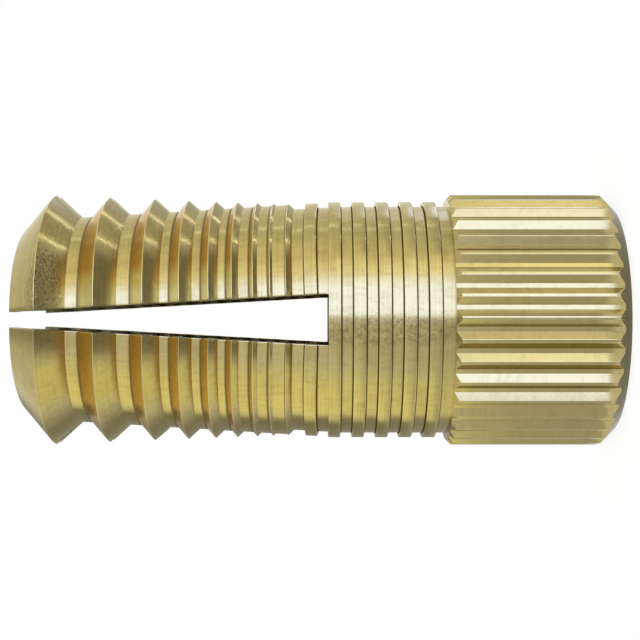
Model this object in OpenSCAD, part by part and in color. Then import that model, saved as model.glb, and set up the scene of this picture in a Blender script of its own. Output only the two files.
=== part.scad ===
// Knurled brass expansion anchor for an M8 machine screw, set in a 10 mm drilled hole.
// It stands on its head: z = 0 is the head's end face, +Z runs along the axis to the split tip.

/* [Head] */
// Diameter over the crests of the head's straight knurl
head_d = 10; // [9.9:0.05:10.4]
// Height of the head, end face to shoulder
head_h = 6.53; // [5.5:0.01:8]
// Width of the chamfer round the head's end face
head_chamfer = 0.53; // [0.3:0.01:0.6]
// Width of the chamfer at the head's shoulder
shoulder_chamfer = 0.19; // [0.1:0.01:0.25]

/* [Knurl] */
// Number of straight teeth round the head
knurl_teeth = 37; // [30:1:44]
// Depth of the grooves between the teeth
knurl_depth = 0.22; // [0.12:0.01:0.24]
// Width of the flat floor of each groove
knurl_floor = 0.18; // [0.1:0.01:0.3]
// Width of the flat crest of each tooth
knurl_crest = 0.12; // [0.06:0.01:0.14]
// Turn of the first tooth away from the slot's plane, degrees
knurl_turn = 0.7; // [0:0.1:9]

/* [Rings] */
// Number of square rings between the head and the slots
ring_count = 5; // [2:1:5]
// Diameter of the square rings, and of the lands between the barbs
ring_d = 9.42; // [9.3:0.01:9.5]
// Diameter of the grooves between the rings
groove_d = 9.05; // [8.9:0.01:9.2]
// Distance from ring to ring
ring_pitch = 0.936; // [0.8:0.001:0.94]
// Width of each ring along the axis
ring_w = 0.474; // [0.3:0.002:0.6]

/* [Barbs] */
// Heights of the barbs' crests above the head's end face, from the tip down
barb_z = [22.09, 19.94, 18.14, 16.80, 15.72, 14.86, 14.08, 13.45, 12.86]; // [12.7:0.01:22.5]
// Diameter over the crest of the barb nearest the tip, before the fingers are crimped
barb_d = 11.3; // [10.8:0.01:11.4]
// Fall of the crests' radius for each millimetre away from the tip
barb_fall = 0.0975; // [0.08:0.0005:0.1]
// Length of the anchor before the fingers are crimped
cut_length = 23.37; // [23:0.01:24]

/* [Slots and bore] */
// Height of the slots' floor above the head's end face, at the top of the last ring
slot_z = 11.24; // [11.2:0.01:11.6]
// Width of the two crossed saw cuts that split the shank into four fingers
slot_w = 1.89; // [1:0.01:2]
// Angle by which each finger is crimped towards the axis
crimp = 4.52; // [2:0.01:4.8]
// Diameter of the bore at the crests of its M8 x 1.25 thread
bore_d = 6.8; // [6.6:0.01:6.9]
// Relief of the bore's radius inside the fingers, where they spring from the shank
finger_relief = 0.08; // [0.06:0.01:0.2]
// Diameter of the countersink at the thread's mouth
mouth_d = 8.3; // [8:0.1:8.5]

/* [Hidden] */
$fn = 96;
brass = "#c8b35a";
over = 1;
finger_count = 4;
head_r = head_d / 2;
ring_r = ring_d / 2;
groove_r = groove_d / 2;
bore_r = bore_d / 2;
mouth_r = mouth_d / 2;
barb_r = barb_d / 2;
knurl_r = head_r - knurl_depth;
tooth_angle = 360 / knurl_teeth;
floor_angle = 2 * asin(knurl_floor / 2 / knurl_r);
crest_angle = 2 * asin(knurl_crest / 2 / head_r);
foot_turn = (tooth_angle - floor_angle) / 2;
foot_r = knurl_r / cos(floor_angle / 2);
groove_w = ring_pitch - ring_w;
first_ring_z = slot_z - (ring_count - 1) * ring_pitch - ring_w;
quarter = 360 / finger_count;

// Radius of the crest at height z: the crests lie on a cone that opens to the tip.
function crest_r(z) = barb_r - (barb_z[0] - z) * barb_fall;

// The four corners of a square ring whose lower face is at height z.
function ring_corners(z) = [
    [groove_r, z], [ring_r, z], [ring_r, z + ring_w], [groove_r, z + ring_w]
];

// A barb at height z, with 45 degree flanks: lower foot at radius foot_r, crest, upper foot.
function barb_corners(z, foot_r) = [
    [foot_r, z - crest_r(z) + foot_r],
    [crest_r(z), z],
    [ring_r, z + crest_r(z) - ring_r]
];

// Corners of a knurl tooth: foot, crest, crest and foot, its crest turned to the angle middle.
function tooth_corners(middle) = [
    for (
        corner = [
            [-foot_turn, foot_r], [-crest_angle / 2, head_r],
            [crest_angle / 2, head_r], [foot_turn, foot_r]
        ]
    )
        corner[1] * [cos(middle + corner[0]), sin(middle + corner[0])]
];

// Cross-section of the knurl: narrow flat crests with a flat-floored groove between each two.
module knurl_section() {
    polygon([
        for (i = [0:knurl_teeth - 1]) each tooth_corners(knurl_turn - quarter + i * tooth_angle)
    ]);
}

// Turned blank that cuts the crests of the teeth back to a 45 degree chamfer at both ends.
module head_blank() {
    rotate_extrude()
        polygon([
            [0, 0],
            [head_r - head_chamfer, 0],
            [head_r + over, head_chamfer + over],
            [head_r + over, head_h - shoulder_chamfer - over],
            [head_r - shoulder_chamfer, head_h],
            [0, head_h]
        ]);
}

// Knurled head that grips the mouth of the drilled hole.
module head() {
    color(brass)
        intersection() {
            head_blank();
            linear_extrude(head_h) knurl_section();
        }
}

// Solid part of the shank, with its square rings.
module ringed_shank() {
    rings = [
        for (i = [0:ring_count - 1])
            for (corner = ring_corners(first_ring_z + i * ring_pitch)) corner
    ];
    color(brass)
        rotate_extrude()
            polygon(concat(
                [[0, head_h - over], [groove_r, head_h - over]],
                rings,
                [[0, slot_z]]
            ));
}

// Turned blank of the four fingers: one more ring, then the barbs, then the faced tip.
module barbed_blank() {
    last = len(barb_z) - 1;
    tip_r = barb_r - (cut_length - barb_z[0]);
    barbs = [
        for (i = [last:-1:0])
            for (corner = barb_corners(barb_z[i], i == last ? groove_r : ring_r)) corner
    ];
    rotate_extrude()
        polygon(concat(
            [[0, slot_z], [groove_r, slot_z]],
            ring_corners(slot_z + groove_w),
            [for (k = [0:len(barbs) - 2]) barbs[k]],
            [[tip_r, cut_length], [0, cut_length]]
        ));
}

// One finger: a quarter of the blank between two saw cuts, bored, then crimped inwards
// about a line at the outer edge of the last ring, so that its root sinks into the shank.
module finger() {
    color(brass)
        translate([ring_r, 0, slot_z])
            rotate([0, -crimp, 0])
                translate([-ring_r, 0, -slot_z])
                    difference() {
                        intersection() {
                            barbed_blank();
                            rotate([0, 0, -quarter / 2])
                                translate([slot_w / 2, slot_w / 2, slot_z - over])
                                    cube([barb_d, barb_d, cut_length]);
                        }
                        cylinder(h = cut_length + over, r = bore_r + finger_relief);
                    }
}

// Hole for the screw, countersunk at the head's end face.
module screw_bore() {
    translate([0, 0, -over])
        cylinder(h = slot_z + over, r = bore_r);
    translate([0, 0, -over])
        cylinder(h = mouth_r - bore_r + over, r1 = mouth_r + over, r2 = bore_r);
}

module anchor() {
    difference() {
        union() {
            head();
            ringed_shank();
        }
        screw_bore();
    }
    for (i = [0:finger_count - 1])
        rotate([0, 0, (i + 0.5) * quarter])
            finger();
}

anchor();
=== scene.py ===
import math
from dataclasses import dataclass

import bmesh
import bpy
from mathutils import Matrix, Vector


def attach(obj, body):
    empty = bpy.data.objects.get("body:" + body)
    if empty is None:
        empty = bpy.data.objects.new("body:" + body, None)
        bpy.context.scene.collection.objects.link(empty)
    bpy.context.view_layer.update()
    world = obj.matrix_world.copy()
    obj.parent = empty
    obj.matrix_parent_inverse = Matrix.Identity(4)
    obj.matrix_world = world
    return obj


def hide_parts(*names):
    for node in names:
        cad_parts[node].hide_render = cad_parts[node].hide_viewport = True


bl_info = {
    "name": "Brass expansion anchor",
    "version": (1, 0, 0),
    "blender": (4, 5, 0),
    "location": "3D View > Sidebar > Anchor",
    "description": "Turned brass anchor with knurled head, barbs and crimped fingers",
    "category": "Object",
}

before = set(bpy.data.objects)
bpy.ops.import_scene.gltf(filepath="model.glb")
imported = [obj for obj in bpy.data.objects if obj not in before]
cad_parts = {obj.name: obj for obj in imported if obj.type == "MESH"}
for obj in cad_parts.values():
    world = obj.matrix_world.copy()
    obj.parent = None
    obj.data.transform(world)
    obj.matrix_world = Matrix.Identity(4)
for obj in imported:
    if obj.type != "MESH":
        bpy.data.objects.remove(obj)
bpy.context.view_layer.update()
NODE = "anchor"
BODY = "root"
MM = 0.001
FINGERS = 4
QUARTER = math.pi / 2
PANEL_TAB = "Anchor"

# Material slots of the anchor's mesh, in order.
TURNED, KNURLED, SAWN, THREADED, SHADED, WARM_REFLECTED, PARTED = range(7)


# ---------------------------------------------------------------- sizes and colours


def length(name, description, default):
    """A size in metres, shown in the scene's units."""
    return bpy.props.FloatProperty(
        name=name, description=description, default=default * MM, unit="LENGTH", precision=5
    )


def angle(name, description, degrees):
    """An angle."""
    return bpy.props.FloatProperty(
        name=name, description=description, default=math.radians(degrees), subtype="ANGLE"
    )


def tone(name, description, default):
    """A linear colour."""
    return bpy.props.FloatVectorProperty(
        name=name, description=description, default=default, size=3, min=0.0, max=1.0, subtype="COLOR"
    )


class HeadSizes(bpy.types.PropertyGroup):
    """Sizes of the knurled head."""

    diameter: length("Diameter", "Over the crests of the knurl", 10.0)
    height: length("Height", "End face to shoulder", 6.53)
    chamfer: length("Chamfer", "At the end face", 0.53)
    shoulder: length("Shoulder chamfer", "Where the head meets the shank", 0.19)
    teeth: bpy.props.IntProperty(name="Teeth", description="Of the straight knurl", default=37)
    depth: length("Knurl depth", "Of the grooves between teeth", 0.22)
    floor: length("Groove floor", "Width of each groove's flat floor", 0.18)
    crest: length("Tooth crest", "Width of each tooth's flat crest", 0.12)
    turn: angle("Turn", "Of the first tooth from the slot", 0.7)


class ShankSizes(bpy.types.PropertyGroup):
    """Sizes of the ringed, barbed and slotted shank."""

    ring_diameter: length("Ring diameter", "Over the rings and the barbs' lands", 9.42)
    groove_diameter: length("Groove diameter", "Between the rings", 9.05)
    ring_pitch: length("Ring pitch", "From ring to ring", 0.936)
    ring_width: length("Ring width", "Along the axis", 0.474)
    rings: bpy.props.IntProperty(name="Rings", description="Between head and slots", default=5)
    barb_diameter: length("Barb diameter", "Over the barb nearest the tip, uncrimped", 11.3)
    barb_fall: bpy.props.FloatProperty(
        name="Barb fall", description="Fall of the crests' radius along the axis", default=0.0975
    )
    slot_floor: length("Slot floor", "Height of the saw cuts' floor", 11.24)
    slot_width: length("Slot width", "Of the two crossed saw cuts", 1.89)
    cut_length: length("Length", "Of the anchor before it is crimped", 23.35)
    crimp: angle("Crimp", "Of each finger to the axis", 4.52)
    bore_diameter: length("Bore diameter", "Over the thread's crests", 6.8)
    thread_diameter: length("Thread diameter", "Over the thread's roots", 8.0)
    thread_pitch: length("Thread pitch", "From turn to turn", 1.25)
    mouth_diameter: length("Mouth diameter", "Of the countersink at the head", 8.3)
    edge: length("Edge break", "Radius of the outer edges", 0.035)


class BrassLook(bpy.types.PropertyGroup):
    """Colours and finish of the brass."""

    bright: tone("Bright brass", "Freshly cut metal", (0.47, 0.395, 0.175))
    tarnish: tone("Tarnished brass", "Slightly stained metal", (0.335, 0.26, 0.098))
    # Colour of the mottled patches: a stain on the barb nearest the tip, and a painted reflection of the
    # camera over the rings.
    mottling: tone("Stain", "Of the mottled patches", (0.20, 0.16, 0.07))
    # Painted warm reflection of the neighbouring brass on the barbs' faces towards the tip.
    reflected_tint: tone("Warm reflection", "Painted warm reflection on the barbs' faces towards the tip", (0.62, 0.385, 0.105))
    roughness: bpy.props.FloatProperty(
        name="Roughness", description="Of the turned faces", default=0.13, min=0.0, max=1.0
    )


# Width of the dark line in the inward corners, in millimetres.
INNER_SHADE = 0.08

# Colour of that line: painted shade.
CORNER_SHADE_COLOUR = (0.17, 0.09, 0.015)

# How much further the painted shade spreads than an edge's wear, and how rough it is.
SHADE_COVER = 1.7
SHADE_ROUGHNESS = 0.7

# Wear and painted highlight of the edges along the saw cuts, as a part of that on the turned edges.
SLOT_WEAR_SHEEN = 0.3

# Painted shade in the corner above each barb, as a part of that beside the rings.
BARB_SHADE = 0.4

# Painted shade in the corners of the knurl's grooves, likewise.
KNURL_SHADE = 0.2

# Colour of rubbed metal, which the rounded edges also take as a painted highlight.
POLISHED = (0.66, 0.6, 0.3)

# Rubbing, with its painted highlight, where an edge is worn least, and the part of its roughness that rubbing
# takes away.
LEAST_RUB_SHEEN = 0.2
RUB_SMOOTHING = 0.6

# Tarnish in the broad bands round the axis, and in blotches as a part of that in smudges.
BAND_TARNISH = 0.5
BLOTCH_TARNISH = 0.75

# What smudges add over the whole face as a part of their strength, taken off again.
SMUDGE_MEAN = 0.1

# Colour of the faces with the painted warm reflection where they tarnish, as a part of their clean colour.
TINT_TARNISH = 0.7

# How much stains, specks and tool marks each roughen the brass.
ROUGH_SPREAD = 0.05

# Radius in millimetres at which the blank is unrolled for the scratches, and their angles to the axis.
UNROLLED_R = 5.0
SCRATCH_SLANTS = (0.6, -0.9)

# Least fall of the radius, in millimetres, along a face towards the tip that takes the painted warm
# reflection.
TINT_FALL = 0.05

# Heights of the barbs' crests on the uncrimped blank in millimetres, from the tip down.
BARB_HEIGHTS = (22.09, 19.94, 18.14, 16.80, 15.72, 14.86, 14.08, 13.45, 12.86)


# ---------------------------------------------------------------- outlines

# Least turn of an outline at a corner that is rounded or holds painted shade.
LEAST_TURN = math.radians(20)

# Most of a side that a rounded corner and a line of painted shade take up.
ROUND_REACH = 0.45
SHADE_REACH = 0.3

# Radius in the knurl's grooves as a part of the outer edges', and how far in the middle of a broken
# edge along a saw cut lies, likewise.
KNURL_FILLET = 0.4
SLOT_EDGE = 0.3

# How far inside the knurl's grooves the smooth part of the end chamfer stops, in millimetres.
CHAMFER_MARGIN = 0.02

# Rows in which a finger bends, and how much of the tip's face its outline has, in millimetres.
BEND_ROWS = 6
TIP_FACE = 0.1


def soften(points, radius, steps=4, closed=False, fillet=0.0):
    """The outline with its outward corners rounded; the solid lies to the left of the path.

    Inward corners are rounded by fillet, or kept sharp with a point on each side of them. A corner's
    third value, if it has one, is the painted shade in it. The third value of each point that comes back
    is 1 in the middle of a rounded edge, for its wear and painted highlight, and below 0 in an inward
    corner with painted shade.
    """
    count = len(points)
    result = []
    for i, here in enumerate(points):
        corner_shade = here[2] if len(here) > 2 else 1.0
        here = here[:2]
        if not closed and i in (0, count - 1):
            result.append((*here, 0.0))
            continue
        before = Vector(points[i - 1][:2])
        after = Vector(points[(i + 1) % count][:2])
        corner = Vector(here)
        inward, outward = (before - corner), (after - corner)
        turn = math.pi - inward.angle(outward)
        hollow = (corner - before).cross(after - corner) <= 0
        if turn < LEAST_TURN or (hollow and not fillet and not corner_shade):
            result.append((*here, 0.0))
            continue
        if hollow and not fillet:
            cut = min(INNER_SHADE, SHADE_REACH * inward.length, SHADE_REACH * outward.length)
            result.append((*(corner + inward.normalized() * cut), 0.0))
            result.append((*here, -corner_shade))
            result.append((*(corner + outward.normalized() * cut), 0.0))
            continue
        size = fillet if hollow else radius
        side = ROUND_REACH * min(inward.length, outward.length)
        cut = min(size * math.tan(turn / 2), side)
        start = corner + inward.normalized() * cut
        end = corner + outward.normalized() * cut
        for k in range(steps + 1):
            t = k / steps
            p = start * (1 - t) ** 2 + corner * 2 * t * (1 - t) + end * t**2
            # Rounded outward edges take wear and a painted highlight; the knurl's fillets take painted shade.
            wear_sheen_shade = math.sin(math.pi * t) * (-KNURL_SHADE if hollow else 1)
            result.append((p.x, p.y, wear_sheen_shade))
    return result


class Anchor:
    """All sizes of one anchor in millimetres, and its outlines."""

    def __init__(self, head, shank):
        mm = 1 / MM
        self.head_r = head.diameter * mm / 2
        self.head_h = head.height * mm
        self.end_r = self.head_r - head.chamfer * mm
        self.shoulder_r = self.head_r - head.shoulder * mm
        self.valley_r = self.head_r - head.depth * mm
        self.teeth = head.teeth
        self.floor = head.floor * mm
        self.crest = head.crest * mm
        self.turn = head.turn
        self.ring_r = shank.ring_diameter * mm / 2
        self.groove_r = shank.groove_diameter * mm / 2
        self.pitch = shank.ring_pitch * mm
        self.ring_w = shank.ring_width * mm
        self.rings = shank.rings
        self.barb_r = shank.barb_diameter * mm / 2
        self.barb_fall = shank.barb_fall
        self.slot_z = shank.slot_floor * mm
        self.half_slot = shank.slot_width * mm / 2
        self.length = shank.cut_length * mm
        self.crimp = shank.crimp
        self.bore_r = shank.bore_diameter * mm / 2
        self.root_r = shank.thread_diameter * mm / 2
        self.lead = shank.thread_pitch * mm
        self.mouth_r = shank.mouth_diameter * mm / 2
        self.edge = shank.edge * mm
        self.bend_end = self.slot_z + self.pitch - self.ring_w

    def crest_r(self, z):
        """Radius of the cone on which the barbs' crests lie."""
        return self.barb_r - (BARB_HEIGHTS[0] - z) * self.barb_fall

    def ring_outline(self, z):
        """Corners of a square ring whose lower face is at height z."""
        top = z + self.ring_w
        return [(self.groove_r, z), (self.ring_r, z), (self.ring_r, top), (self.groove_r, top)]

    def shank_outline(self):
        """Head's shoulder to the floor of the slots."""
        first = self.slot_z - (self.rings - 1) * self.pitch - self.ring_w
        points = [(self.groove_r, self.head_h)]
        for i in range(self.rings):
            points += self.ring_outline(first + i * self.pitch)
        return soften(points, self.edge)

    def finger_outline(self):
        """Floor of the slots to the tip, before the crimp."""
        bend = self.bend_end - self.slot_z
        points = [(self.groove_r, self.slot_z)]
        bent = [(self.groove_r, self.slot_z + bend * k / BEND_ROWS, 0.0) for k in range(1, BEND_ROWS)]
        points += self.ring_outline(self.bend_end)
        foot = self.groove_r
        for z in reversed(BARB_HEIGHTS):
            crest = self.crest_r(z)
            points += [(foot, z - crest + foot, 0.0), (crest, z)]
            foot = self.ring_r
            # The corner above each barb holds painted shade.
            points.append((foot, z + crest - foot, BARB_SHADE))
        tip_r = self.barb_r - (self.length - BARB_HEIGHTS[0])
        points[-1] = (tip_r, self.length)
        points.append((tip_r - TIP_FACE, self.length))
        soft = soften(points, self.edge)[:-1]
        return [soft[0]] + bent + soft[1:]

    def knurl_outline(self):
        """(angle, radius, mark) round the head: narrow flat crests and flat-floored grooves. The mark is wear
        with a painted highlight on the crests and painted shade in the grooves' corners.
        """
        tooth = 2 * math.pi / self.teeth
        foot = tooth / 2 - math.asin(self.floor / 2 / self.valley_r)
        top = math.asin(self.crest / 2 / self.head_r)
        corners = []
        for i in range(self.teeth):
            middle = self.turn - QUARTER + i * tooth
            corners.append((self.valley_r, middle - foot))
            corners.append((self.head_r, middle - top))
            corners.append((self.head_r, middle + top))
            corners.append((self.valley_r, middle + foot))
        flat = [(r * math.cos(a), r * math.sin(a)) for r, a in corners]
        rounded = soften(flat, self.edge, steps=3, closed=True, fillet=KNURL_FILLET * self.edge)
        columns = [(math.atan2(y, x), math.hypot(x, y), wear_sheen_shade) for x, y, wear_sheen_shade in rounded]
        return sorted((a % (2 * math.pi), r, wear_sheen_shade) for a, r, wear_sheen_shade in columns)

    def thread_keys(self):
        """(share of a turn, radius) at the corners of the thread's profile, whose root is slightly round."""
        return ((0.0, self.bore_r), (0.14, self.bore_r), (0.42, self.root_r), (0.5, self.root_r + 0.02),
                (0.58, self.root_r), (0.86, self.bore_r))

    def thread_r(self, angle, z):
        """Radius of the threaded wall at a place."""
        keys = self.thread_keys() + ((1.0, self.bore_r),)
        share = ((z / self.lead) - angle / (2 * math.pi)) % 1.0
        for (a, ra), (b, rb) in zip(keys, keys[1:]):
            if a <= share <= b:
                return ra + (rb - ra) * (share - a) / (b - a)
        return self.bore_r

    def crimped(self, finger, point):
        """A point of a finger after the crimp, which bends it in the groove above the slot floor."""
        if finger is None or point.z <= self.slot_z:
            return point
        middle = (finger + 0.5) * QUARTER
        along = Vector((math.cos(middle), math.sin(middle), 0))
        out = point.dot(along)
        side = point - along * out - Vector((0, 0, point.z))
        bend = self.bend_end - self.slot_z
        part = min(point.z - self.slot_z, bend) / bend
        angle = self.crimp * part
        rate = self.crimp / bend
        shift = (1 - math.cos(angle)) / rate
        rise = math.sin(angle) / rate
        beyond = max(0.0, point.z - self.bend_end)
        shift += beyond * math.sin(self.crimp)
        rise += beyond * math.cos(self.crimp)
        lever = out - self.groove_r
        new_out = self.groove_r - shift + lever * math.cos(angle)
        new_z = self.slot_z + rise + lever * math.sin(angle)
        return side + along * new_out + Vector((0, 0, new_z))


# ---------------------------------------------------------------- mesh


class Shell:
    """Vertices and faces of a mesh, with the place of each vertex on the straight turned blank."""

    def __init__(self, anchor):
        self.anchor = anchor
        self.points = []
        self.blank = []
        self.wear_sheen_shades = []
        self.faces = []
        self.slots = []

    def add(self, r, angle, z, wear_sheen_shade=0.0, finger=None):
        """A vertex at a cylindrical place on the blank; a finger's vertices follow its crimp."""
        place = Vector((r * math.cos(angle), r * math.sin(angle), z))
        self.blank.append(place)
        self.points.append(self.anchor.crimped(finger, place))
        self.wear_sheen_shades.append(wear_sheen_shade)
        return len(self.points) - 1

    def face(self, corners, slot):
        """A face without its doubled corners; nothing if fewer than three are left."""
        kept = [c for i, c in enumerate(corners) if c != corners[i - 1]]
        if len(set(kept)) >= 3:
            self.faces.append(kept)
            self.slots.append(slot)

    def skin(self, lower, upper, slot):
        """Quads between two rows of equal count, seen from the right of lower."""
        for a, b, c, d in zip(lower, lower[1:], upper[1:], upper):
            self.face([a, b, c, d], slot)

    def zip_rows(self, lower, upper, slot):
        """Triangles between two rows of (key, vertex) that run the same way."""
        i = j = 0
        while i < len(lower) - 1 or j < len(upper) - 1:
            step_lower = j == len(upper) - 1 or (
                i < len(lower) - 1 and lower[i + 1][0] <= upper[j + 1][0]
            )
            if step_lower:
                self.face([lower[i][1], lower[i + 1][1], upper[j][1]], slot)
                i += 1
            else:
                self.face([lower[i][1], upper[j + 1][1], upper[j][1]], slot)
                j += 1


def loop(row):
    """The row closed by its first vertex."""
    return row + row[:1]


def keyed(row, angles):
    """A closed row of (angle, vertex) that starts at its smallest angle."""
    pairs = sorted((a % (2 * math.pi), v) for a, v in zip(angles, row))
    first = pairs[0]
    return pairs + [(first[0] + 2 * math.pi, first[1])]


# Faces across a finger, and across the floor of a slot between two fingers.
COLUMNS = 34
GAP_COLUMNS = 8

# Rounds in which an angle and the radius of the threaded wall there settle.
SETTLING = 25


def finger_angle(anchor, finger, share, r, inset=0.0):
    """Angle at a share of the way across a finger, at radius r, between its two saw cuts."""
    side = math.asin((anchor.half_slot + inset) / r)
    return finger * QUARTER + side + share * (QUARTER - 2 * side)


def root_angles(anchor, radius_at):
    """Angles round the slot floor: each finger's columns, then the gap's. radius_at gives r at an angle."""
    angles = []
    for finger in range(FINGERS):
        for j in range(COLUMNS + 1):
            r = radius_at(finger * QUARTER)
            for _ in range(SETTLING):
                angle = finger_angle(anchor, finger, j / COLUMNS, r)
                r = radius_at(angle)
            angles.append(angle)
        r = radius_at((finger + 1) * QUARTER)
        for _ in range(SETTLING):
            following = finger_angle(anchor, finger + 1, 0, r)
            r = radius_at(following % (2 * math.pi))
        for g in range(1, GAP_COLUMNS):
            angles.append(angle + (following - angle) * g / GAP_COLUMNS)
    return angles


def build_head(shell):
    """Knurled band, both chamfers and the end face's outer edge; returns the two open rows."""
    a = shell.anchor
    columns = a.knurl_outline()
    low_r = a.valley_r - CHAMFER_MARGIN
    edge = soften([(0, 0), (a.end_r, 0), (low_r, low_r - a.end_r)], a.edge)[1:]
    rows = [[shell.add(r, angle, z, wear_sheen_shade) for angle, _, _ in columns] for r, z, wear_sheen_shade in edge]
    end_row = rows[0]
    for lower, upper in zip(rows, rows[1:]):
        shell.skin(loop(lower), loop(upper), PARTED)
    cut = [shell.add(k, angle, k - a.end_r, wear_sheen_shade) for angle, k, wear_sheen_shade in columns]
    shell.skin(loop(rows[-1]), loop(cut), PARTED)
    top = [
        shell.add(k, angle, a.head_h - max(0.0, k - a.shoulder_r), wear_sheen_shade) for angle, k, wear_sheen_shade in columns
    ]
    shell.skin(loop(cut), loop(top), KNURLED)
    shoulder = [
        top[i] if k <= a.shoulder_r else shell.add(a.shoulder_r, angle, a.head_h)
        for i, (angle, k, _) in enumerate(columns)
    ]
    shell.skin(loop(top), loop(shoulder), TURNED)
    angles = [angle for angle, _, _ in columns]
    return keyed(end_row, angles), keyed(shoulder, angles)


def build_shank(shell, shoulder):
    """Rings between the head and the slot floor; returns the top row."""
    a = shell.anchor
    angles = root_angles(a, lambda _: a.groove_r)
    rows = [[shell.add(r, angle, z, wear_sheen_shade) for angle in angles] for r, z, wear_sheen_shade in a.shank_outline()]
    shell.zip_rows(shoulder, keyed(rows[0], angles), TURNED)
    for lower, upper in zip(rows, rows[1:]):
        shell.skin(loop(lower), loop(upper), TURNED)
    return rows[-1]


def thread_rows(anchor):
    """(turn, radius) of every corner of the thread's profile, from below the head to past the tip."""
    turns = math.ceil(anchor.length / anchor.lead) + 1
    return [(t + share, r) for t in range(-1, turns) for share, r in anchor.thread_keys()]


def build_bore(shell):
    """Threaded wall from the countersink to the slot floor; returns the mouth's and the top row."""
    a = shell.anchor
    angles = root_angles(a, lambda angle: a.thread_r(angle, a.slot_z))
    angles = [angle % (2 * math.pi) for angle in angles]
    mouth = [shell.add(a.mouth_r, angle, 0) for angle in angles]
    top = [shell.add(a.thread_r(angle, a.slot_z), angle, a.slot_z) for angle in angles]
    rows = []
    for turn, r in thread_rows(a):
        row = []
        for i, angle in enumerate(angles):
            z = (turn + angle / (2 * math.pi)) * a.lead
            if z <= 0:
                row.append(mouth[i])
            elif z >= a.slot_z:
                row.append(top[i])
            else:
                row.append(shell.add(max(r, a.mouth_r - z), angle, z))
        rows.append(row)
    keys = len(a.thread_keys())
    order = sorted(range(len(angles)), key=lambda i: angles[i])
    for m, (lower, upper) in enumerate(zip(rows, rows[1:])):
        for i, k in zip(order, order[1:]):
            shell.face([lower[k], lower[i], upper[i], upper[k]], THREADED)
        if m + 1 + keys < len(rows):
            first, last = order[0], order[-1]
            wrapped = (rows[m + keys][first], rows[m + 1 + keys][first])
            shell.face([wrapped[0], lower[last], upper[last], wrapped[1]], THREADED)
    return keyed(mouth, angles), top


def finger_row(shell, finger, r, z, wear_sheen_shade):
    """One row across a finger's outer face, with its two edges along the saw cuts broken."""
    a = shell.anchor
    e = a.edge
    low_x = math.sqrt((r - e) ** 2 - a.half_slot**2)
    mid_side, mid_r = a.half_slot + SLOT_EDGE * e, r - SLOT_EDGE * e
    base = finger * QUARTER
    side = math.atan2(a.half_slot, low_x)
    mid = math.asin(mid_side / mid_r)
    row = [
        shell.add(r - e, base + side, z, wear_sheen_shade, finger),
        shell.add(mid_r, base + mid, z, SLOT_WEAR_SHEEN, finger),
    ]
    for j in range(COLUMNS + 1):
        row.append(shell.add(r, finger_angle(a, finger, j / COLUMNS, r, e), z, wear_sheen_shade, finger))
    row.append(shell.add(mid_r, base + QUARTER - mid, z, SLOT_WEAR_SHEEN, finger))
    row.append(shell.add(r - e, base + QUARTER - side, z, wear_sheen_shade, finger))
    return row


def build_finger(shell, finger, outer_root, inner_root):
    """A finger's barbed face, threaded inner face, two sawn faces and tip."""
    a = shell.anchor
    outline = a.finger_outline()
    root = [outer_root[0]] * 2 + outer_root + [outer_root[-1]] * 2
    rows = [(a.slot_z, root)]
    for r, z, wear_sheen_shade in outline[1:]:
        rows.append((z, finger_row(shell, finger, r, z, wear_sheen_shade)))
    radii = [r for r, _, _ in outline]
    for k, ((_, lower), (z, upper)) in enumerate(zip(rows, rows[1:])):
        tipward = radii[k] - radii[k + 1] > TINT_FALL and z < BARB_HEIGHTS[0]
        shell.skin(lower, upper, WARM_REFLECTED if tipward else TURNED)

    tip = []
    for j in range(COLUMNS + 1):
        r = a.bore_r
        for _ in range(SETTLING):
            angle = finger_angle(a, finger, j / COLUMNS, r)
            r = a.thread_r(angle, a.length)
        tip.append(shell.add(r, angle, a.length, 0.0, finger))
    inner = []
    for turn, r in thread_rows(a):
        row, heights = [], []
        for j in range(COLUMNS + 1):
            angle = finger_angle(a, finger, j / COLUMNS, r)
            z = (turn + angle / (2 * math.pi)) * a.lead
            heights.append(z)
            if z <= a.slot_z:
                row.append(inner_root[j])
            elif z >= a.length:
                row.append(tip[j])
            else:
                row.append(shell.add(r, angle, z, 0.0, finger))
        inner.append((heights, row))
    for (_, lower), (_, upper) in zip(inner, inner[1:]):
        shell.skin(upper, lower, SHADED)

    for column, inner_column in ((0, 0), (-1, COLUMNS)):
        outside = [(z, row[column]) for z, row in rows]
        inside = [(a.slot_z, inner_root[inner_column])]
        for heights, row in inner:
            if a.slot_z < heights[inner_column] < a.length:
                inside.append((heights[inner_column], row[inner_column]))
        inside.append((a.length, tip[inner_column]))
        if column == 0:
            shell.zip_rows(inside, outside, SAWN)
        else:
            shell.zip_rows(outside, inside, SAWN)
    last = rows[-1][1]
    outside = [(k / (len(last) - 1), v) for k, v in enumerate(last)]
    inside = [(k / COLUMNS, v) for k, v in enumerate(tip)]
    shell.zip_rows(outside, inside, TURNED)


def build_anchor_mesh(anchor):
    """The whole anchor as one closed mesh."""
    shell = Shell(anchor)
    end_row, shoulder = build_head(shell)
    outer_top = build_shank(shell, shoulder)
    mouth, inner_top = build_bore(shell)
    shell.zip_rows(mouth, end_row, TURNED)
    block = COLUMNS + GAP_COLUMNS
    for finger in range(FINGERS):
        start = finger * block
        outer_root = outer_top[start : start + COLUMNS + 1]
        inner_root = inner_top[start : start + COLUMNS + 1]
        build_finger(shell, finger, outer_root, inner_root)
        gap = [(start + COLUMNS + g) % (FINGERS * block) for g in range(GAP_COLUMNS + 1)]
        shell.skin([outer_top[g] for g in gap], [inner_top[g] for g in gap], SAWN)
    return shell


# Edges that turn more than this are shaded as sharp ones.
SHARP_ANGLE = math.radians(26)


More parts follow.
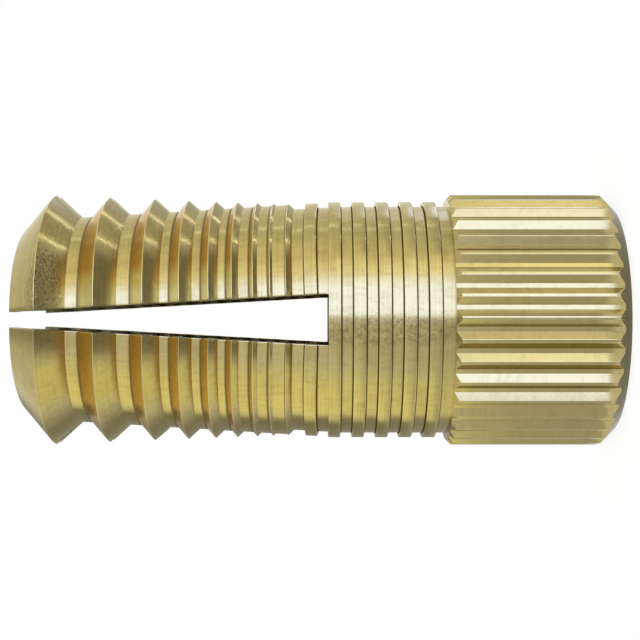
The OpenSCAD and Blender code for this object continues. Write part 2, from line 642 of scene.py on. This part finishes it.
def mesh_object(name, shell):
    """A mesh object in metres, with the blank's place and the edges' wear, painted highlight and painted
    corner shade as attributes.
    """
    mesh = bpy.data.meshes.new(name)
    mesh.from_pydata([p * MM for p in shell.points], [], shell.faces)
    mesh.polygons.foreach_set("material_index", shell.slots)
    blank = mesh.attributes.new("blank", "FLOAT_VECTOR", "POINT")
    blank.data.foreach_set("vector", [c for p in shell.blank for c in p])
    wear_sheen_shade = mesh.attributes.new("wear_sheen_shade", "FLOAT", "POINT")
    wear_sheen_shade.data.foreach_set("value", shell.wear_sheen_shades)
    work = bmesh.new()
    work.from_mesh(mesh)
    loose = [v for v in work.verts if not v.link_faces]
    bmesh.ops.delete(work, geom=loose, context="VERTS")
    bmesh.ops.recalc_face_normals(work, faces=work.faces)
    work.to_mesh(mesh)
    work.free()
    mesh.polygons.foreach_set("use_smooth", [True] * len(mesh.polygons))
    mesh.set_sharp_from_angle(angle=SHARP_ANGLE)
    piece = bpy.data.objects.new(name, mesh)
    bpy.context.scene.collection.objects.link(piece)
    weigh = piece.modifiers.new("Weighted normals", "WEIGHTED_NORMAL")
    weigh.keep_sharp = True
    weigh.weight = 100
    return piece


# ---------------------------------------------------------------- shader groups


class Tree:
    """A shader node tree, with short ways to add its nodes."""

    def __init__(self, tree):
        self.nodes = tree.nodes
        self.links = tree.links

    def put(self, kind, **values):
        """A node with some of its properties set; a key in_n sets the default of input n."""
        node = self.nodes.new(f"ShaderNode{kind}")
        for key, value in values.items():
            if key.startswith("in_"):
                node.inputs[int(key[3:])].default_value = value
            else:
                setattr(node, key, value)
        return node

    def feed(self, socket, value):
        """An input linked to a socket, or set to a value."""
        if isinstance(value, bpy.types.NodeSocket):
            self.links.new(value, socket)
        else:
            socket.default_value = value

    def math(self, operation, a, b=0.0, clamp=False):
        """A Math node of sockets or numbers."""
        node = self.put("Math", operation=operation, use_clamp=clamp)
        self.feed(node.inputs[0], a)
        self.feed(node.inputs[1], b)
        return node.outputs[0]

    def product(self, a, b):
        """The product of two sockets or numbers."""
        return self.math("MULTIPLY", a, b)

    def total(self, *terms, clamp=False):
        """The sum of sockets and numbers."""
        *others, last = terms
        result = others[0]
        for term in others[1:]:
            result = self.math("ADD", result, term)
        return self.math("ADD", result, last, clamp)

    def vector(self, operation, a, b):
        """A Vector Math node of two vectors, or of a vector and the scale that SCALE takes."""
        node = self.put("VectorMath", operation=operation)
        self.feed(node.inputs[0], a)
        self.feed(node.inputs["Scale" if operation == "SCALE" else 1], b)
        return node.outputs[0]

    def parts(self, vector):
        """The x, y and z of a vector."""
        node = self.put("SeparateXYZ")
        self.feed(node.inputs[0], vector)
        return node.outputs

    def joined(self, x, y, z=0.0):
        """A vector of sockets or numbers."""
        node = self.put("CombineXYZ")
        for socket, value in zip(node.inputs, (x, y, z)):
            self.feed(socket, value)
        return node.outputs[0]

    def spread(self, value, low, high, shape="LINEAR"):
        """A value that runs from low to high, made to run from 0 to 1 and no further."""
        node = self.put("MapRange", interpolation_type=shape, clamp=True, in_1=low, in_2=high)
        self.feed(node.inputs[0], value)
        return node.outputs[0]

    def mix(self, factor, colour, other):
        """A colour that turns into another; each is a socket, or red, green and blue."""
        node = self.put("Mix", data_type="RGBA")
        self.feed(node.inputs["Factor"], factor)
        for index, value in ((6, colour), (7, other)):
            is_socket = isinstance(value, bpy.types.NodeSocket)
            self.feed(node.inputs[index], value if is_socket else (*value, 1.0))
        return node.outputs[2]

    def noise(self, place, scale=1.0, detail=5.0, roughness=0.65):
        """A noise texture at a place."""
        node = self.put("TexNoise", in_2=scale, in_3=detail, in_4=roughness)
        self.feed(node.inputs["Vector"], place)
        return node.outputs[0]

    def group(self, group, **inputs):
        """The outputs of a group node, with some of its inputs fed."""
        node = self.put("Group", node_tree=group)
        for name, value in inputs.items():
            self.feed(node.inputs[name], value)
        return node.outputs


def new_group(name, inputs, outputs):
    """An empty shader node group with named sockets: the group, its tree, its inputs and its outputs."""
    group = bpy.data.node_groups.new(name, "ShaderNodeTree")
    for socket, kind, default in inputs:
        made = group.interface.new_socket(socket, in_out="INPUT", socket_type=f"NodeSocket{kind}")
        made.default_value = default
    for socket, kind in outputs:
        group.interface.new_socket(socket, in_out="OUTPUT", socket_type=f"NodeSocket{kind}")
    inside = group.nodes.new("NodeGroupInput").outputs
    outside = group.nodes.new("NodeGroupOutput").inputs
    return group, Tree(group), inside, outside


def blank_place(tree):
    """The place on the straight turned blank, in millimetres."""
    return tree.put("Attribute", attribute_name="blank").outputs["Vector"]


def turning_group():
    """Fine grooves left by the turning tool: rings in radius and height, faintly broken round the axis."""
    group, tree, inside, outside = new_group(
        "Turning marks",
        [("Spacing", "Float", 14.0), ("Breaks", "Float", 0.35)],
        [("Height", "Float"), ("Bands", "Float"), ("Streaks", "Float")],
    )
    x, y, z = tree.parts(blank_place(tree))
    r = tree.math("SQRT", tree.total(tree.product(x, x), tree.product(y, y)))
    ringed = tree.joined(
        tree.total(tree.product(r, inside["Spacing"]), tree.product(x, inside["Breaks"])),
        tree.product(y, inside["Breaks"]),
        tree.product(z, inside["Spacing"]),
    )
    fine = tree.noise(ringed, roughness=0.7)
    tree.feed(outside["Height"], fine)
    tree.feed(outside["Bands"], tree.noise(ringed, scale=0.16, detail=3.0, roughness=0.6))
    tree.feed(outside["Streaks"], tree.spread(fine, 0.38, 0.62))
    return group


def stain_group():
    """Blotches of tarnish, smudges wiped along the axis, small specks, and shallow dents."""
    group, tree, inside, outside = new_group(
        "Stains",
        [("Scale", "Float", 0.7)],
        [("Mask", "Float"), ("Smudges", "Float"), ("Specks", "Float"), ("Dents", "Float")],
    )
    place = blank_place(tree)
    blotched = tree.noise(tree.vector("SCALE", place, inside["Scale"]), detail=6.0)
    untinted = tree.noise(tree.vector("MULTIPLY", place, (4.5, 4.5, 1.1)))
    tree.feed(outside["Mask"], tree.spread(blotched, 0.45, 0.7))
    tree.feed(outside["Smudges"], tree.spread(untinted, 0.44, 0.66))
    tree.feed(outside["Specks"], tree.spread(tree.noise(place, scale=9.0, detail=3.0), 0.58, 0.7))
    tree.feed(outside["Dents"], tree.spread(tree.noise(place, scale=6.0, detail=4.0), 0.2, 0.8))
    return group


def scratch_group():
    """Fine straight scratches across the tool marks, at a slant to the axis."""
    group, tree, inside, outside = new_group(
        "Scratches", [("Slant", "Float", 0.6), ("Across", "Float", 20.0)], [("Mask", "Float")]
    )
    x, y, z = tree.parts(blank_place(tree))
    unrolled = tree.joined(tree.product(tree.math("ARCTAN2", y, x), UNROLLED_R), z)
    turned = tree.put("VectorRotate", rotation_type="Z_AXIS")
    tree.feed(turned.inputs["Vector"], unrolled)
    tree.feed(turned.inputs["Angle"], inside["Slant"])
    across, along, _ = tree.parts(turned.outputs[0])
    drawn = tree.noise(tree.joined(tree.product(across, inside["Across"]), along), detail=3.0)
    tree.feed(outside["Mask"], tree.spread(drawn, 0.58, 0.72))
    return group


def patch_group():
    """A mottled patch that fades out round its centre, for a stain and for a painted reflection."""
    group, tree, inside, outside = new_group(
        "Mottled patch",
        [("Centre", "Vector", (0, 0, 0)), ("Reach", "Vector", (1, 1, 1)), ("Grain", "Float", 6.0)],
        [("Mask", "Float"), ("Fade", "Float")],
    )
    place = blank_place(tree)
    share = tree.vector("DIVIDE", tree.vector("SUBTRACT", place, inside["Centre"]), inside["Reach"])
    away = tree.put("VectorMath", operation="LENGTH")
    tree.feed(away.inputs[0], share)
    fade = tree.spread(away.outputs["Value"], 1.1, 0.7)
    mottle = tree.noise(tree.vector("SCALE", place, inside["Grain"]), detail=6.0, roughness=0.75)
    tree.feed(outside["Mask"], tree.product(fade, tree.spread(mottle, 0.44, 0.58)))
    tree.feed(outside["Fade"], fade)
    return group


def edge_sheen_shade_group():
    """Edges rubbed bright and smooth, their brightness partly a painted highlight, and dull dark painted
    shade in the inward corners.
    """
    group, tree, inside, outside = new_group(
        "Edge sheen and corner shade",
        [("Colour", "Color", (1, 1, 1, 1)), ("Bright", "Color", (*POLISHED, 1)),
         ("Corner shade", "Color", (*CORNER_SHADE_COLOUR, 1)), ("Roughness", "Float", 0.3)],
        [("Colour", "Color"), ("Roughness", "Float"), ("Metal", "Float")],
    )
    wear_sheen_shade = tree.put("Attribute", attribute_name="wear_sheen_shade").outputs["Fac"]
    uneven = tree.noise(blank_place(tree), scale=2.5, detail=3.0, roughness=0.5)
    rubbed_sheen = tree.math("MULTIPLY", wear_sheen_shade, tree.total(uneven, LEAST_RUB_SHEEN), clamp=True)
    # Painted shade in the inward corners: dark, dull and not metal.
    hollow = tree.math("MULTIPLY", wear_sheen_shade, -SHADE_COVER, clamp=True)
    colour = tree.mix(rubbed_sheen, inside["Colour"], inside["Bright"])
    tree.feed(outside["Colour"], tree.mix(hollow, colour, inside["Corner shade"]))
    smooth = tree.total(tree.product(rubbed_sheen, -RUB_SMOOTHING), 1.0)
    rough = tree.product(smooth, inside["Roughness"])
    dull = tree.product(hollow, SHADE_ROUGHNESS)
    tree.feed(outside["Roughness"], tree.total(rough, dull, clamp=True))
    tree.feed(outside["Metal"], tree.math("SUBTRACT", 1.0, hollow))
    return group


# ---------------------------------------------------------------- brass


@dataclass
class Patch:
    """A mottled patch on the blank, for a stain and for a painted reflection; its centre, reach and depth are
    in millimetres.
    """

    centre: tuple
    reach: tuple
    grain: float
    strength: float
    depth: float


# A painted reflection of the camera over the rings below a slot, and a stain scratched into the barb nearest
# the tip.
PATCHES = (
    # Painted reflection of the camera: a dark mottled band across the rings where the camera is mirrored.
    Patch((-0.45, -4.68, 9.2), (0.62, 2.0, 3.6), 6.0, 0.6, 0.0007),
    Patch((1.84, -5.19, 21.8), (1.6, 1.5, 0.75), 7.0, 0.65, 0.004),
)

# Beside a slot, where the faces towards the tip take the polished colour in place of the painted warm
# reflection.
UNTINTED_CENTRE = (1.1, -4.9, 17.5)
UNTINTED_REACH = (1.3, 2.5, 8.0)


@dataclass
class Finish:
    """How one kind of brass face was cut, how it has aged, and where it is painted darker; depths are in
    millimetres.
    """

    name: str
    roughness: float = 1.0  # as a part of the turned faces'
    marks: float = 0.002  # depth of the tool marks
    spacing: float = 14.0  # tool marks in a millimetre
    breaks: float = 0.35  # how soon a mark ends on its way round
    dark: float = 0.0  # part of the colour that is taken away
    warm_reflection: bool = False  # takes the painted warm reflection
    anisotropic: float = 0.9
    dents: float = 0.0005  # depth
    streaks: float = 0.45  # strength of the tarnish in the tool marks
    smudges: float = 0.4  # strength of the tarnish in smudges
    scratches: float = 0.001  # depth
    patches: tuple = ()


# In the order of the material slots.
FINISHES = (
    Finish("turned_brass", patches=PATCHES),
    Finish(
        "knurled_brass", roughness=0.7, marks=0.0008, spacing=3.0, breaks=3.0, anisotropic=0.0,
        dents=0.0004, smudges=0.12, scratches=0.0,
    ),
    Finish("sawn_brass", roughness=1.8, marks=0.01, spacing=9.0, breaks=6.0, dark=0.1, anisotropic=0.0),
    Finish("threaded_brass", roughness=2.0, dark=0.2),
    # The fingers' inner faces are painted dark: painted shade inside the fingers.
    Finish("shaded_brass", roughness=3.0, dark=0.6),
    # The barbs' faces towards the tip take a painted warm reflection of the neighbouring brass.
    Finish("warm_reflection_brass", roughness=1.2, warm_reflection=True),
    # The head's end chamfer is painted dark: a painted dark reflection in place of the white floor that it
    # mirrors.
    Finish("parted_brass", roughness=1.5, dark=0.7),
)


def tarnish_part(tree, finish, tool, mottling):
    """How far the bright brass has tarnished at each place, from 0 to 1."""
    return tree.total(
        tree.product(tool["Streaks"], finish.streaks),
        tree.product(tool["Bands"], BAND_TARNISH),
        tree.product(mottling["Mask"], BLOTCH_TARNISH * finish.smudges),
        tree.product(mottling["Smudges"], finish.smudges),
        -BAND_TARNISH / 2 - finish.streaks / 2 - finish.smudges * SMUDGE_MEAN,
        clamp=True,
    )


def brass_colour(tree, finish, look, patch, tarnished):
    """The colour of the brass with its mottled patches and its painted warm reflection, and the patches'
    heights.
    """
    bright = look.reflected_tint if finish.warm_reflection else look.bright
    tarnish = [TINT_TARNISH * c for c in look.reflected_tint] if finish.warm_reflection else look.tarnish
    light = 1 - finish.dark
    colour = tree.mix(tarnished, [c * light for c in bright], [c * light for c in tarnish])
    heights = []
    for mark in finish.patches:
        mask = tree.group(patch, Centre=mark.centre, Reach=mark.reach, Grain=mark.grain)["Mask"]
        colour = tree.mix(tree.product(mask, mark.strength), colour, look.mottling)
        heights.append(tree.product(mask, -mark.depth))
    if finish.warm_reflection:
        untinted = tree.group(patch, Centre=UNTINTED_CENTRE, Reach=UNTINTED_REACH)["Fade"]
        colour = tree.mix(untinted, colour, POLISHED)
    return colour, heights


def brass_material(finish, look, groups):
    """Brass with tool marks, stains, scratches, worn edges with a painted highlight, painted shade in the
    inward corners and painted reflections.
    """
    turning, stains, scratches, patch, edges = groups
    material = bpy.data.materials.new(finish.name)
    material.use_nodes = True
    tree = Tree(material.node_tree)
    tool = tree.group(turning, Spacing=finish.spacing, Breaks=finish.breaks)
    mottling = tree.group(stains)

    tarnished = tarnish_part(tree, finish, tool, mottling)
    colour, heights = brass_colour(tree, finish, look, patch, tarnished)
    rough = tree.total(
        tree.product(mottling["Mask"], ROUGH_SPREAD),
        tree.product(mottling["Specks"], ROUGH_SPREAD),
        tree.product(tool["Height"], ROUGH_SPREAD),
        look.roughness * finish.roughness,
    )
    edge = tree.group(edges, Colour=colour, Roughness=rough)

    heights.append(tree.product(tool["Height"], finish.marks))
    heights.append(tree.product(mottling["Dents"], finish.dents))
    if finish.scratches:
        for slant in SCRATCH_SLANTS:
            heights.append(tree.product(tree.group(scratches, Slant=slant)["Mask"], -finish.scratches))
    bump = tree.put("Bump")
    bump.inputs["Strength"].default_value = 1.0
    bump.inputs["Distance"].default_value = MM
    tree.feed(bump.inputs["Height"], tree.total(*heights))

    shader = tree.nodes["Principled BSDF"]
    shader.inputs["Anisotropic"].default_value = finish.anisotropic
    shader.inputs["Anisotropic Rotation"].default_value = 0.25
    shader.inputs["Specular IOR Level"].default_value = 0.0
    tangent = tree.put("Tangent", direction_type="RADIAL", axis="Z")
    tree.feed(shader.inputs["Base Color"], edge["Colour"])
    tree.feed(shader.inputs["Roughness"], edge["Roughness"])
    tree.feed(shader.inputs["Metallic"], edge["Metal"])
    tree.feed(shader.inputs["Normal"], bump.outputs[0])
    tree.feed(shader.inputs["Tangent"], tangent.outputs[0])
    return material


# ---------------------------------------------------------------- stage

# Place of the camera: its distance from the axis, its height, and how far it is moved along X.
CAMERA_DISTANCE = 55.5
CAMERA_HEIGHT = 11.56
CAMERA_SHIFT = -0.012
# Angle from the middle of the view to its side, and the sensor's width.
HALF_VIEW = math.radians(13.05)
SENSOR = 36.0

# Strength of the world's light on what isn't metal.
PLAIN_LIGHT = 0.5

# Brightness of the floor where it is seen, and the grey that takes the anchor's shadow.
FLOOR_WHITE = 0.87
FLOOR_GREY = (0.3, 0.3, 0.3, 1)
# In millimetres, small enough that the knurl looks past the floor at the studio.
FLOOR_RADIUS = 8.0

WHITE = (1.0, 1.0, 1.0)
COOL = (0.87, 1.0, 1.75)
CREAM = (1.0, 0.97, 0.8)
GOLD = (1.0, 0.97, 0.6)
AMBER = (1.0, 0.93, 0.7)


@dataclass
class Card:
    """A lamp or a grey card of the studio that the metal reflects in place of the white background.

    Each of its two sides is given as a turn in degrees, with the width over which it fades. A turn is
    twice the angle, from -Y towards +X, of the metal that mirrors it to the camera.
    """

    name: str
    sides: tuple
    soft: tuple
    tint: tuple
    strength: float


KEY = Card("key softbox", (3, 40), (3, 20), COOL, 2.35)

# Level with the shank.
LEVEL_CARDS = (
    Card("dark card", (-175, -112), (16, 16), CREAM, 0.36),
    Card("gold reflector", (-112, -56), (20, 44), GOLD, 1.4),
    Card("cream card", (40, 180), (20, 1), CREAM, 0.95),
    Card("amber card", (44, 84), (16, 20), AMBER, 1.2),
    Card("side softbox", (30, 58), (16, 16), CREAM, 1.5),
    Card("strip lamp", (102.7, 103.7), (0.4, 0.4), WHITE, 3.0),
    KEY,
)
# Lower, where the knurl looks.
FOOT_CARDS = (
    Card("grey card", (-180, 180), (1, 1), WHITE, 0.65),
    Card("second softbox", (119, 143), (7, 7), COOL, 2.2),
    Card("side softbox", (30, 64), (16, 22), CREAM, 1.8),
    KEY,
)
# Under the anchor, where the barbs' faces towards the head look.
UNDER_CARDS = (
    Card("dark card", (-180, -110), (1, 40), CREAM, 0.36),
    Card("dark card", (-46, 78), (26, 24), CREAM, 0.3),
    Card("grey card", (78, 180), (24, 1), CREAM, 0.62),
    Card("gold reflector", (-94, -52), (26, 26), GOLD, 1.15),
    Card("strip lamp", (86.5, 87.5), (0.4, 0.4), WHITE, 7.0),
    Card("strip lamp", (118.5, 119.5), (0.4, 0.4), WHITE, 7.0),
)
# Over the anchor, where the faces towards the tip look.
OVER_CARDS = (
    Card("cream card", (-180, 180), (1, 1), CREAM, 0.95),
    Card("dark card", (-180, -112), (1, 36), CREAM, 0.36),
    Card("dark card", (-34, 12), (30, 24), CREAM, 0.5),
)

# Height on a unit sphere over which the shank's cards pass into those of the foot.
FOOT_LEVEL = (-0.1, -0.11)
# Slopes over which they pass into the cards under and over the anchor.
UNDER_SLOPE = (-0.27, -0.33)
OVER_SLOPE = (0.4, 0.5)


def card_light(tree, turn, cards):
    """The white background with some cards in front of it."""
    colour = WHITE
    for card in cards:
        masks = []
        for side, soft, way in zip(card.sides, card.soft, (1, -1)):
            reach = way * soft / 2
            masks.append(tree.spread(turn, side - reach, side + reach, "SMOOTHSTEP"))
        colour = tree.mix(tree.product(*masks), colour, [c * card.strength for c in card.tint])
        colour.node.label = card.name
    return colour


def studio_light(tree):
    """The light that metal reflects from each direction."""
    x, y, z = tree.parts(tree.put("TexCoord").outputs["Generated"])
    ahead = tree.math("SUBTRACT", 1.0, y)
    turn = tree.product(tree.math("ARCTAN2", x, ahead), math.degrees(2))
    run = tree.math("SQRT", tree.total(tree.product(x, x), tree.product(ahead, ahead)))
    slope = tree.math("DIVIDE", z, run)
    level, foot, under, over = (
        card_light(tree, turn, cards) for cards in (LEVEL_CARDS, FOOT_CARDS, UNDER_CARDS, OVER_CARDS)
    )
    colour = tree.mix(tree.spread(z, *FOOT_LEVEL), level, foot)
    colour = tree.mix(tree.spread(slope, *UNDER_SLOPE), colour, under)
    return tree.mix(tree.spread(slope, *OVER_SLOPE), colour, over)


def seen_or(tree, path, seen, otherwise):
    """One value where a thing is seen, mirrored or looked at through glass, another where it lights."""
    rays = tree.total(*(path[f"Is {kind} Ray"] for kind in ("Camera", "Glossy", "Transmission")))
    part = tree.math("MINIMUM", rays, 1.0)
    return tree.total(tree.product(part, seen - otherwise), otherwise)


def make_world():
    """The studio: a white background, its cards where metal reflects them, and plain light on the rest."""
    world = bpy.data.worlds.new("studio")
    world.use_nodes = True
    tree = Tree(world.node_tree)
    path = tree.put("LightPath").outputs
    background = tree.nodes["Background"]
    tree.feed(background.inputs["Color"], tree.mix(path["Is Glossy Ray"], WHITE, studio_light(tree)))
    tree.feed(background.inputs["Strength"], seen_or(tree, path, 1.0, PLAIN_LIGHT))
    bpy.context.scene.world = world


def make_floor():
    """Small white floor that keeps the anchor's shadow."""
    bpy.ops.mesh.primitive_circle_add(vertices=96, radius=FLOOR_RADIUS * MM, fill_type="NGON")
    floor = bpy.context.object
    floor.name = "floor"
    material = bpy.data.materials.new("floor_white")
    material.use_nodes = True
    tree = Tree(material.node_tree)
    shader = tree.nodes["Principled BSDF"]
    shader.inputs["Base Color"].default_value = FLOOR_GREY
    shader.inputs["Roughness"].default_value = 0.9
    shader.inputs["Specular IOR Level"].default_value = 0.0
    shader.inputs["Emission Color"].default_value = (*WHITE, 1)
    path = tree.put("LightPath").outputs
    tree.feed(shader.inputs["Emission Strength"], seen_or(tree, path, FLOOR_WHITE, 0.0))
    floor.data.materials.append(material)


def make_camera():
    """Camera on its side, level with the middle of the anchor, so that the axis runs across the view."""
    data = bpy.data.cameras.new("camera")
    data.sensor_width = SENSOR
    data.lens = SENSOR / 2 / math.tan(HALF_VIEW)
    data.clip_start = 0.002
    data.clip_end = 10
    camera = bpy.data.objects.new("camera", data)
    place = Vector((CAMERA_SHIFT, -CAMERA_DISTANCE, CAMERA_HEIGHT)) * MM
    turn = Matrix(((0, 1, 0), (0, 0, -1), (-1, 0, 0)))
    camera.matrix_world = Matrix.Translation(place) @ turn.to_4x4()
    bpy.context.scene.collection.objects.link(camera)
    bpy.context.scene.camera = camera


# ---------------------------------------------------------------- operators


class ANCHOR_OT_body(bpy.types.Operator):
    """Make the turned, knurled, slotted and crimped anchor"""

    bl_idname = "anchor.body"
    bl_label = "Anchor"

    def execute(self, context):
        scene = context.scene
        shell = build_anchor_mesh(Anchor(scene.anchor_head, scene.anchor_shank))
        piece = mesh_object("anchor_brass", shell)
        look = scene.anchor_brass
        groups = (turning_group(), stain_group(), scratch_group(), patch_group(), edge_sheen_shade_group())
        for finish in FINISHES:
            piece.data.materials.append(brass_material(finish, look, groups))
        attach(piece, BODY)
        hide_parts(NODE)
        return {"FINISHED"}


class ANCHOR_OT_stage(bpy.types.Operator):
    """Make the floor, the soft studio light and the camera"""

    bl_idname = "anchor.stage"
    bl_label = "Stage"

    def execute(self, context):
        make_world()
        make_floor()
        make_camera()
        context.scene.view_settings.view_transform = "Standard"
        return {"FINISHED"}


class ANCHOR_PT_panel(bpy.types.Panel):
    """Sizes, finish and pieces of the anchor"""

    bl_idname = "ANCHOR_PT_panel"
    bl_label = "Brass anchor"
    bl_space_type = "VIEW_3D"
    bl_region_type = "UI"
    bl_category = PANEL_TAB

    def draw(self, context):
        for group in GROUPS:
            box = self.layout.box()
            settings = getattr(context.scene, group)
            for prop in settings.bl_rna.properties:
                if prop.identifier not in ("rna_type", "name"):
                    box.prop(settings, prop.identifier)
        for operator in (ANCHOR_OT_body, ANCHOR_OT_stage):
            self.layout.operator(operator.bl_idname)


GROUPS = {"anchor_head": HeadSizes, "anchor_shank": ShankSizes, "anchor_brass": BrassLook}
CLASSES = (HeadSizes, ShankSizes, BrassLook, ANCHOR_OT_body, ANCHOR_OT_stage, ANCHOR_PT_panel)


def register():
    """Add the classes, and their settings to the scene."""
    for cls in CLASSES:
        bpy.utils.register_class(cls)
    for name, group in GROUPS.items():
        setattr(bpy.types.Scene, name, bpy.props.PointerProperty(type=group))


def unregister():
    """Take them away again."""
    for name in GROUPS:
        delattr(bpy.types.Scene, name)
    for cls in reversed(CLASSES):
        bpy.utils.unregister_class(cls)


def main():
    """Make the anchor and its stage."""
    register()
    bpy.ops.anchor.body()
    bpy.ops.anchor.stage()


if __name__ == "__main__":
    main()
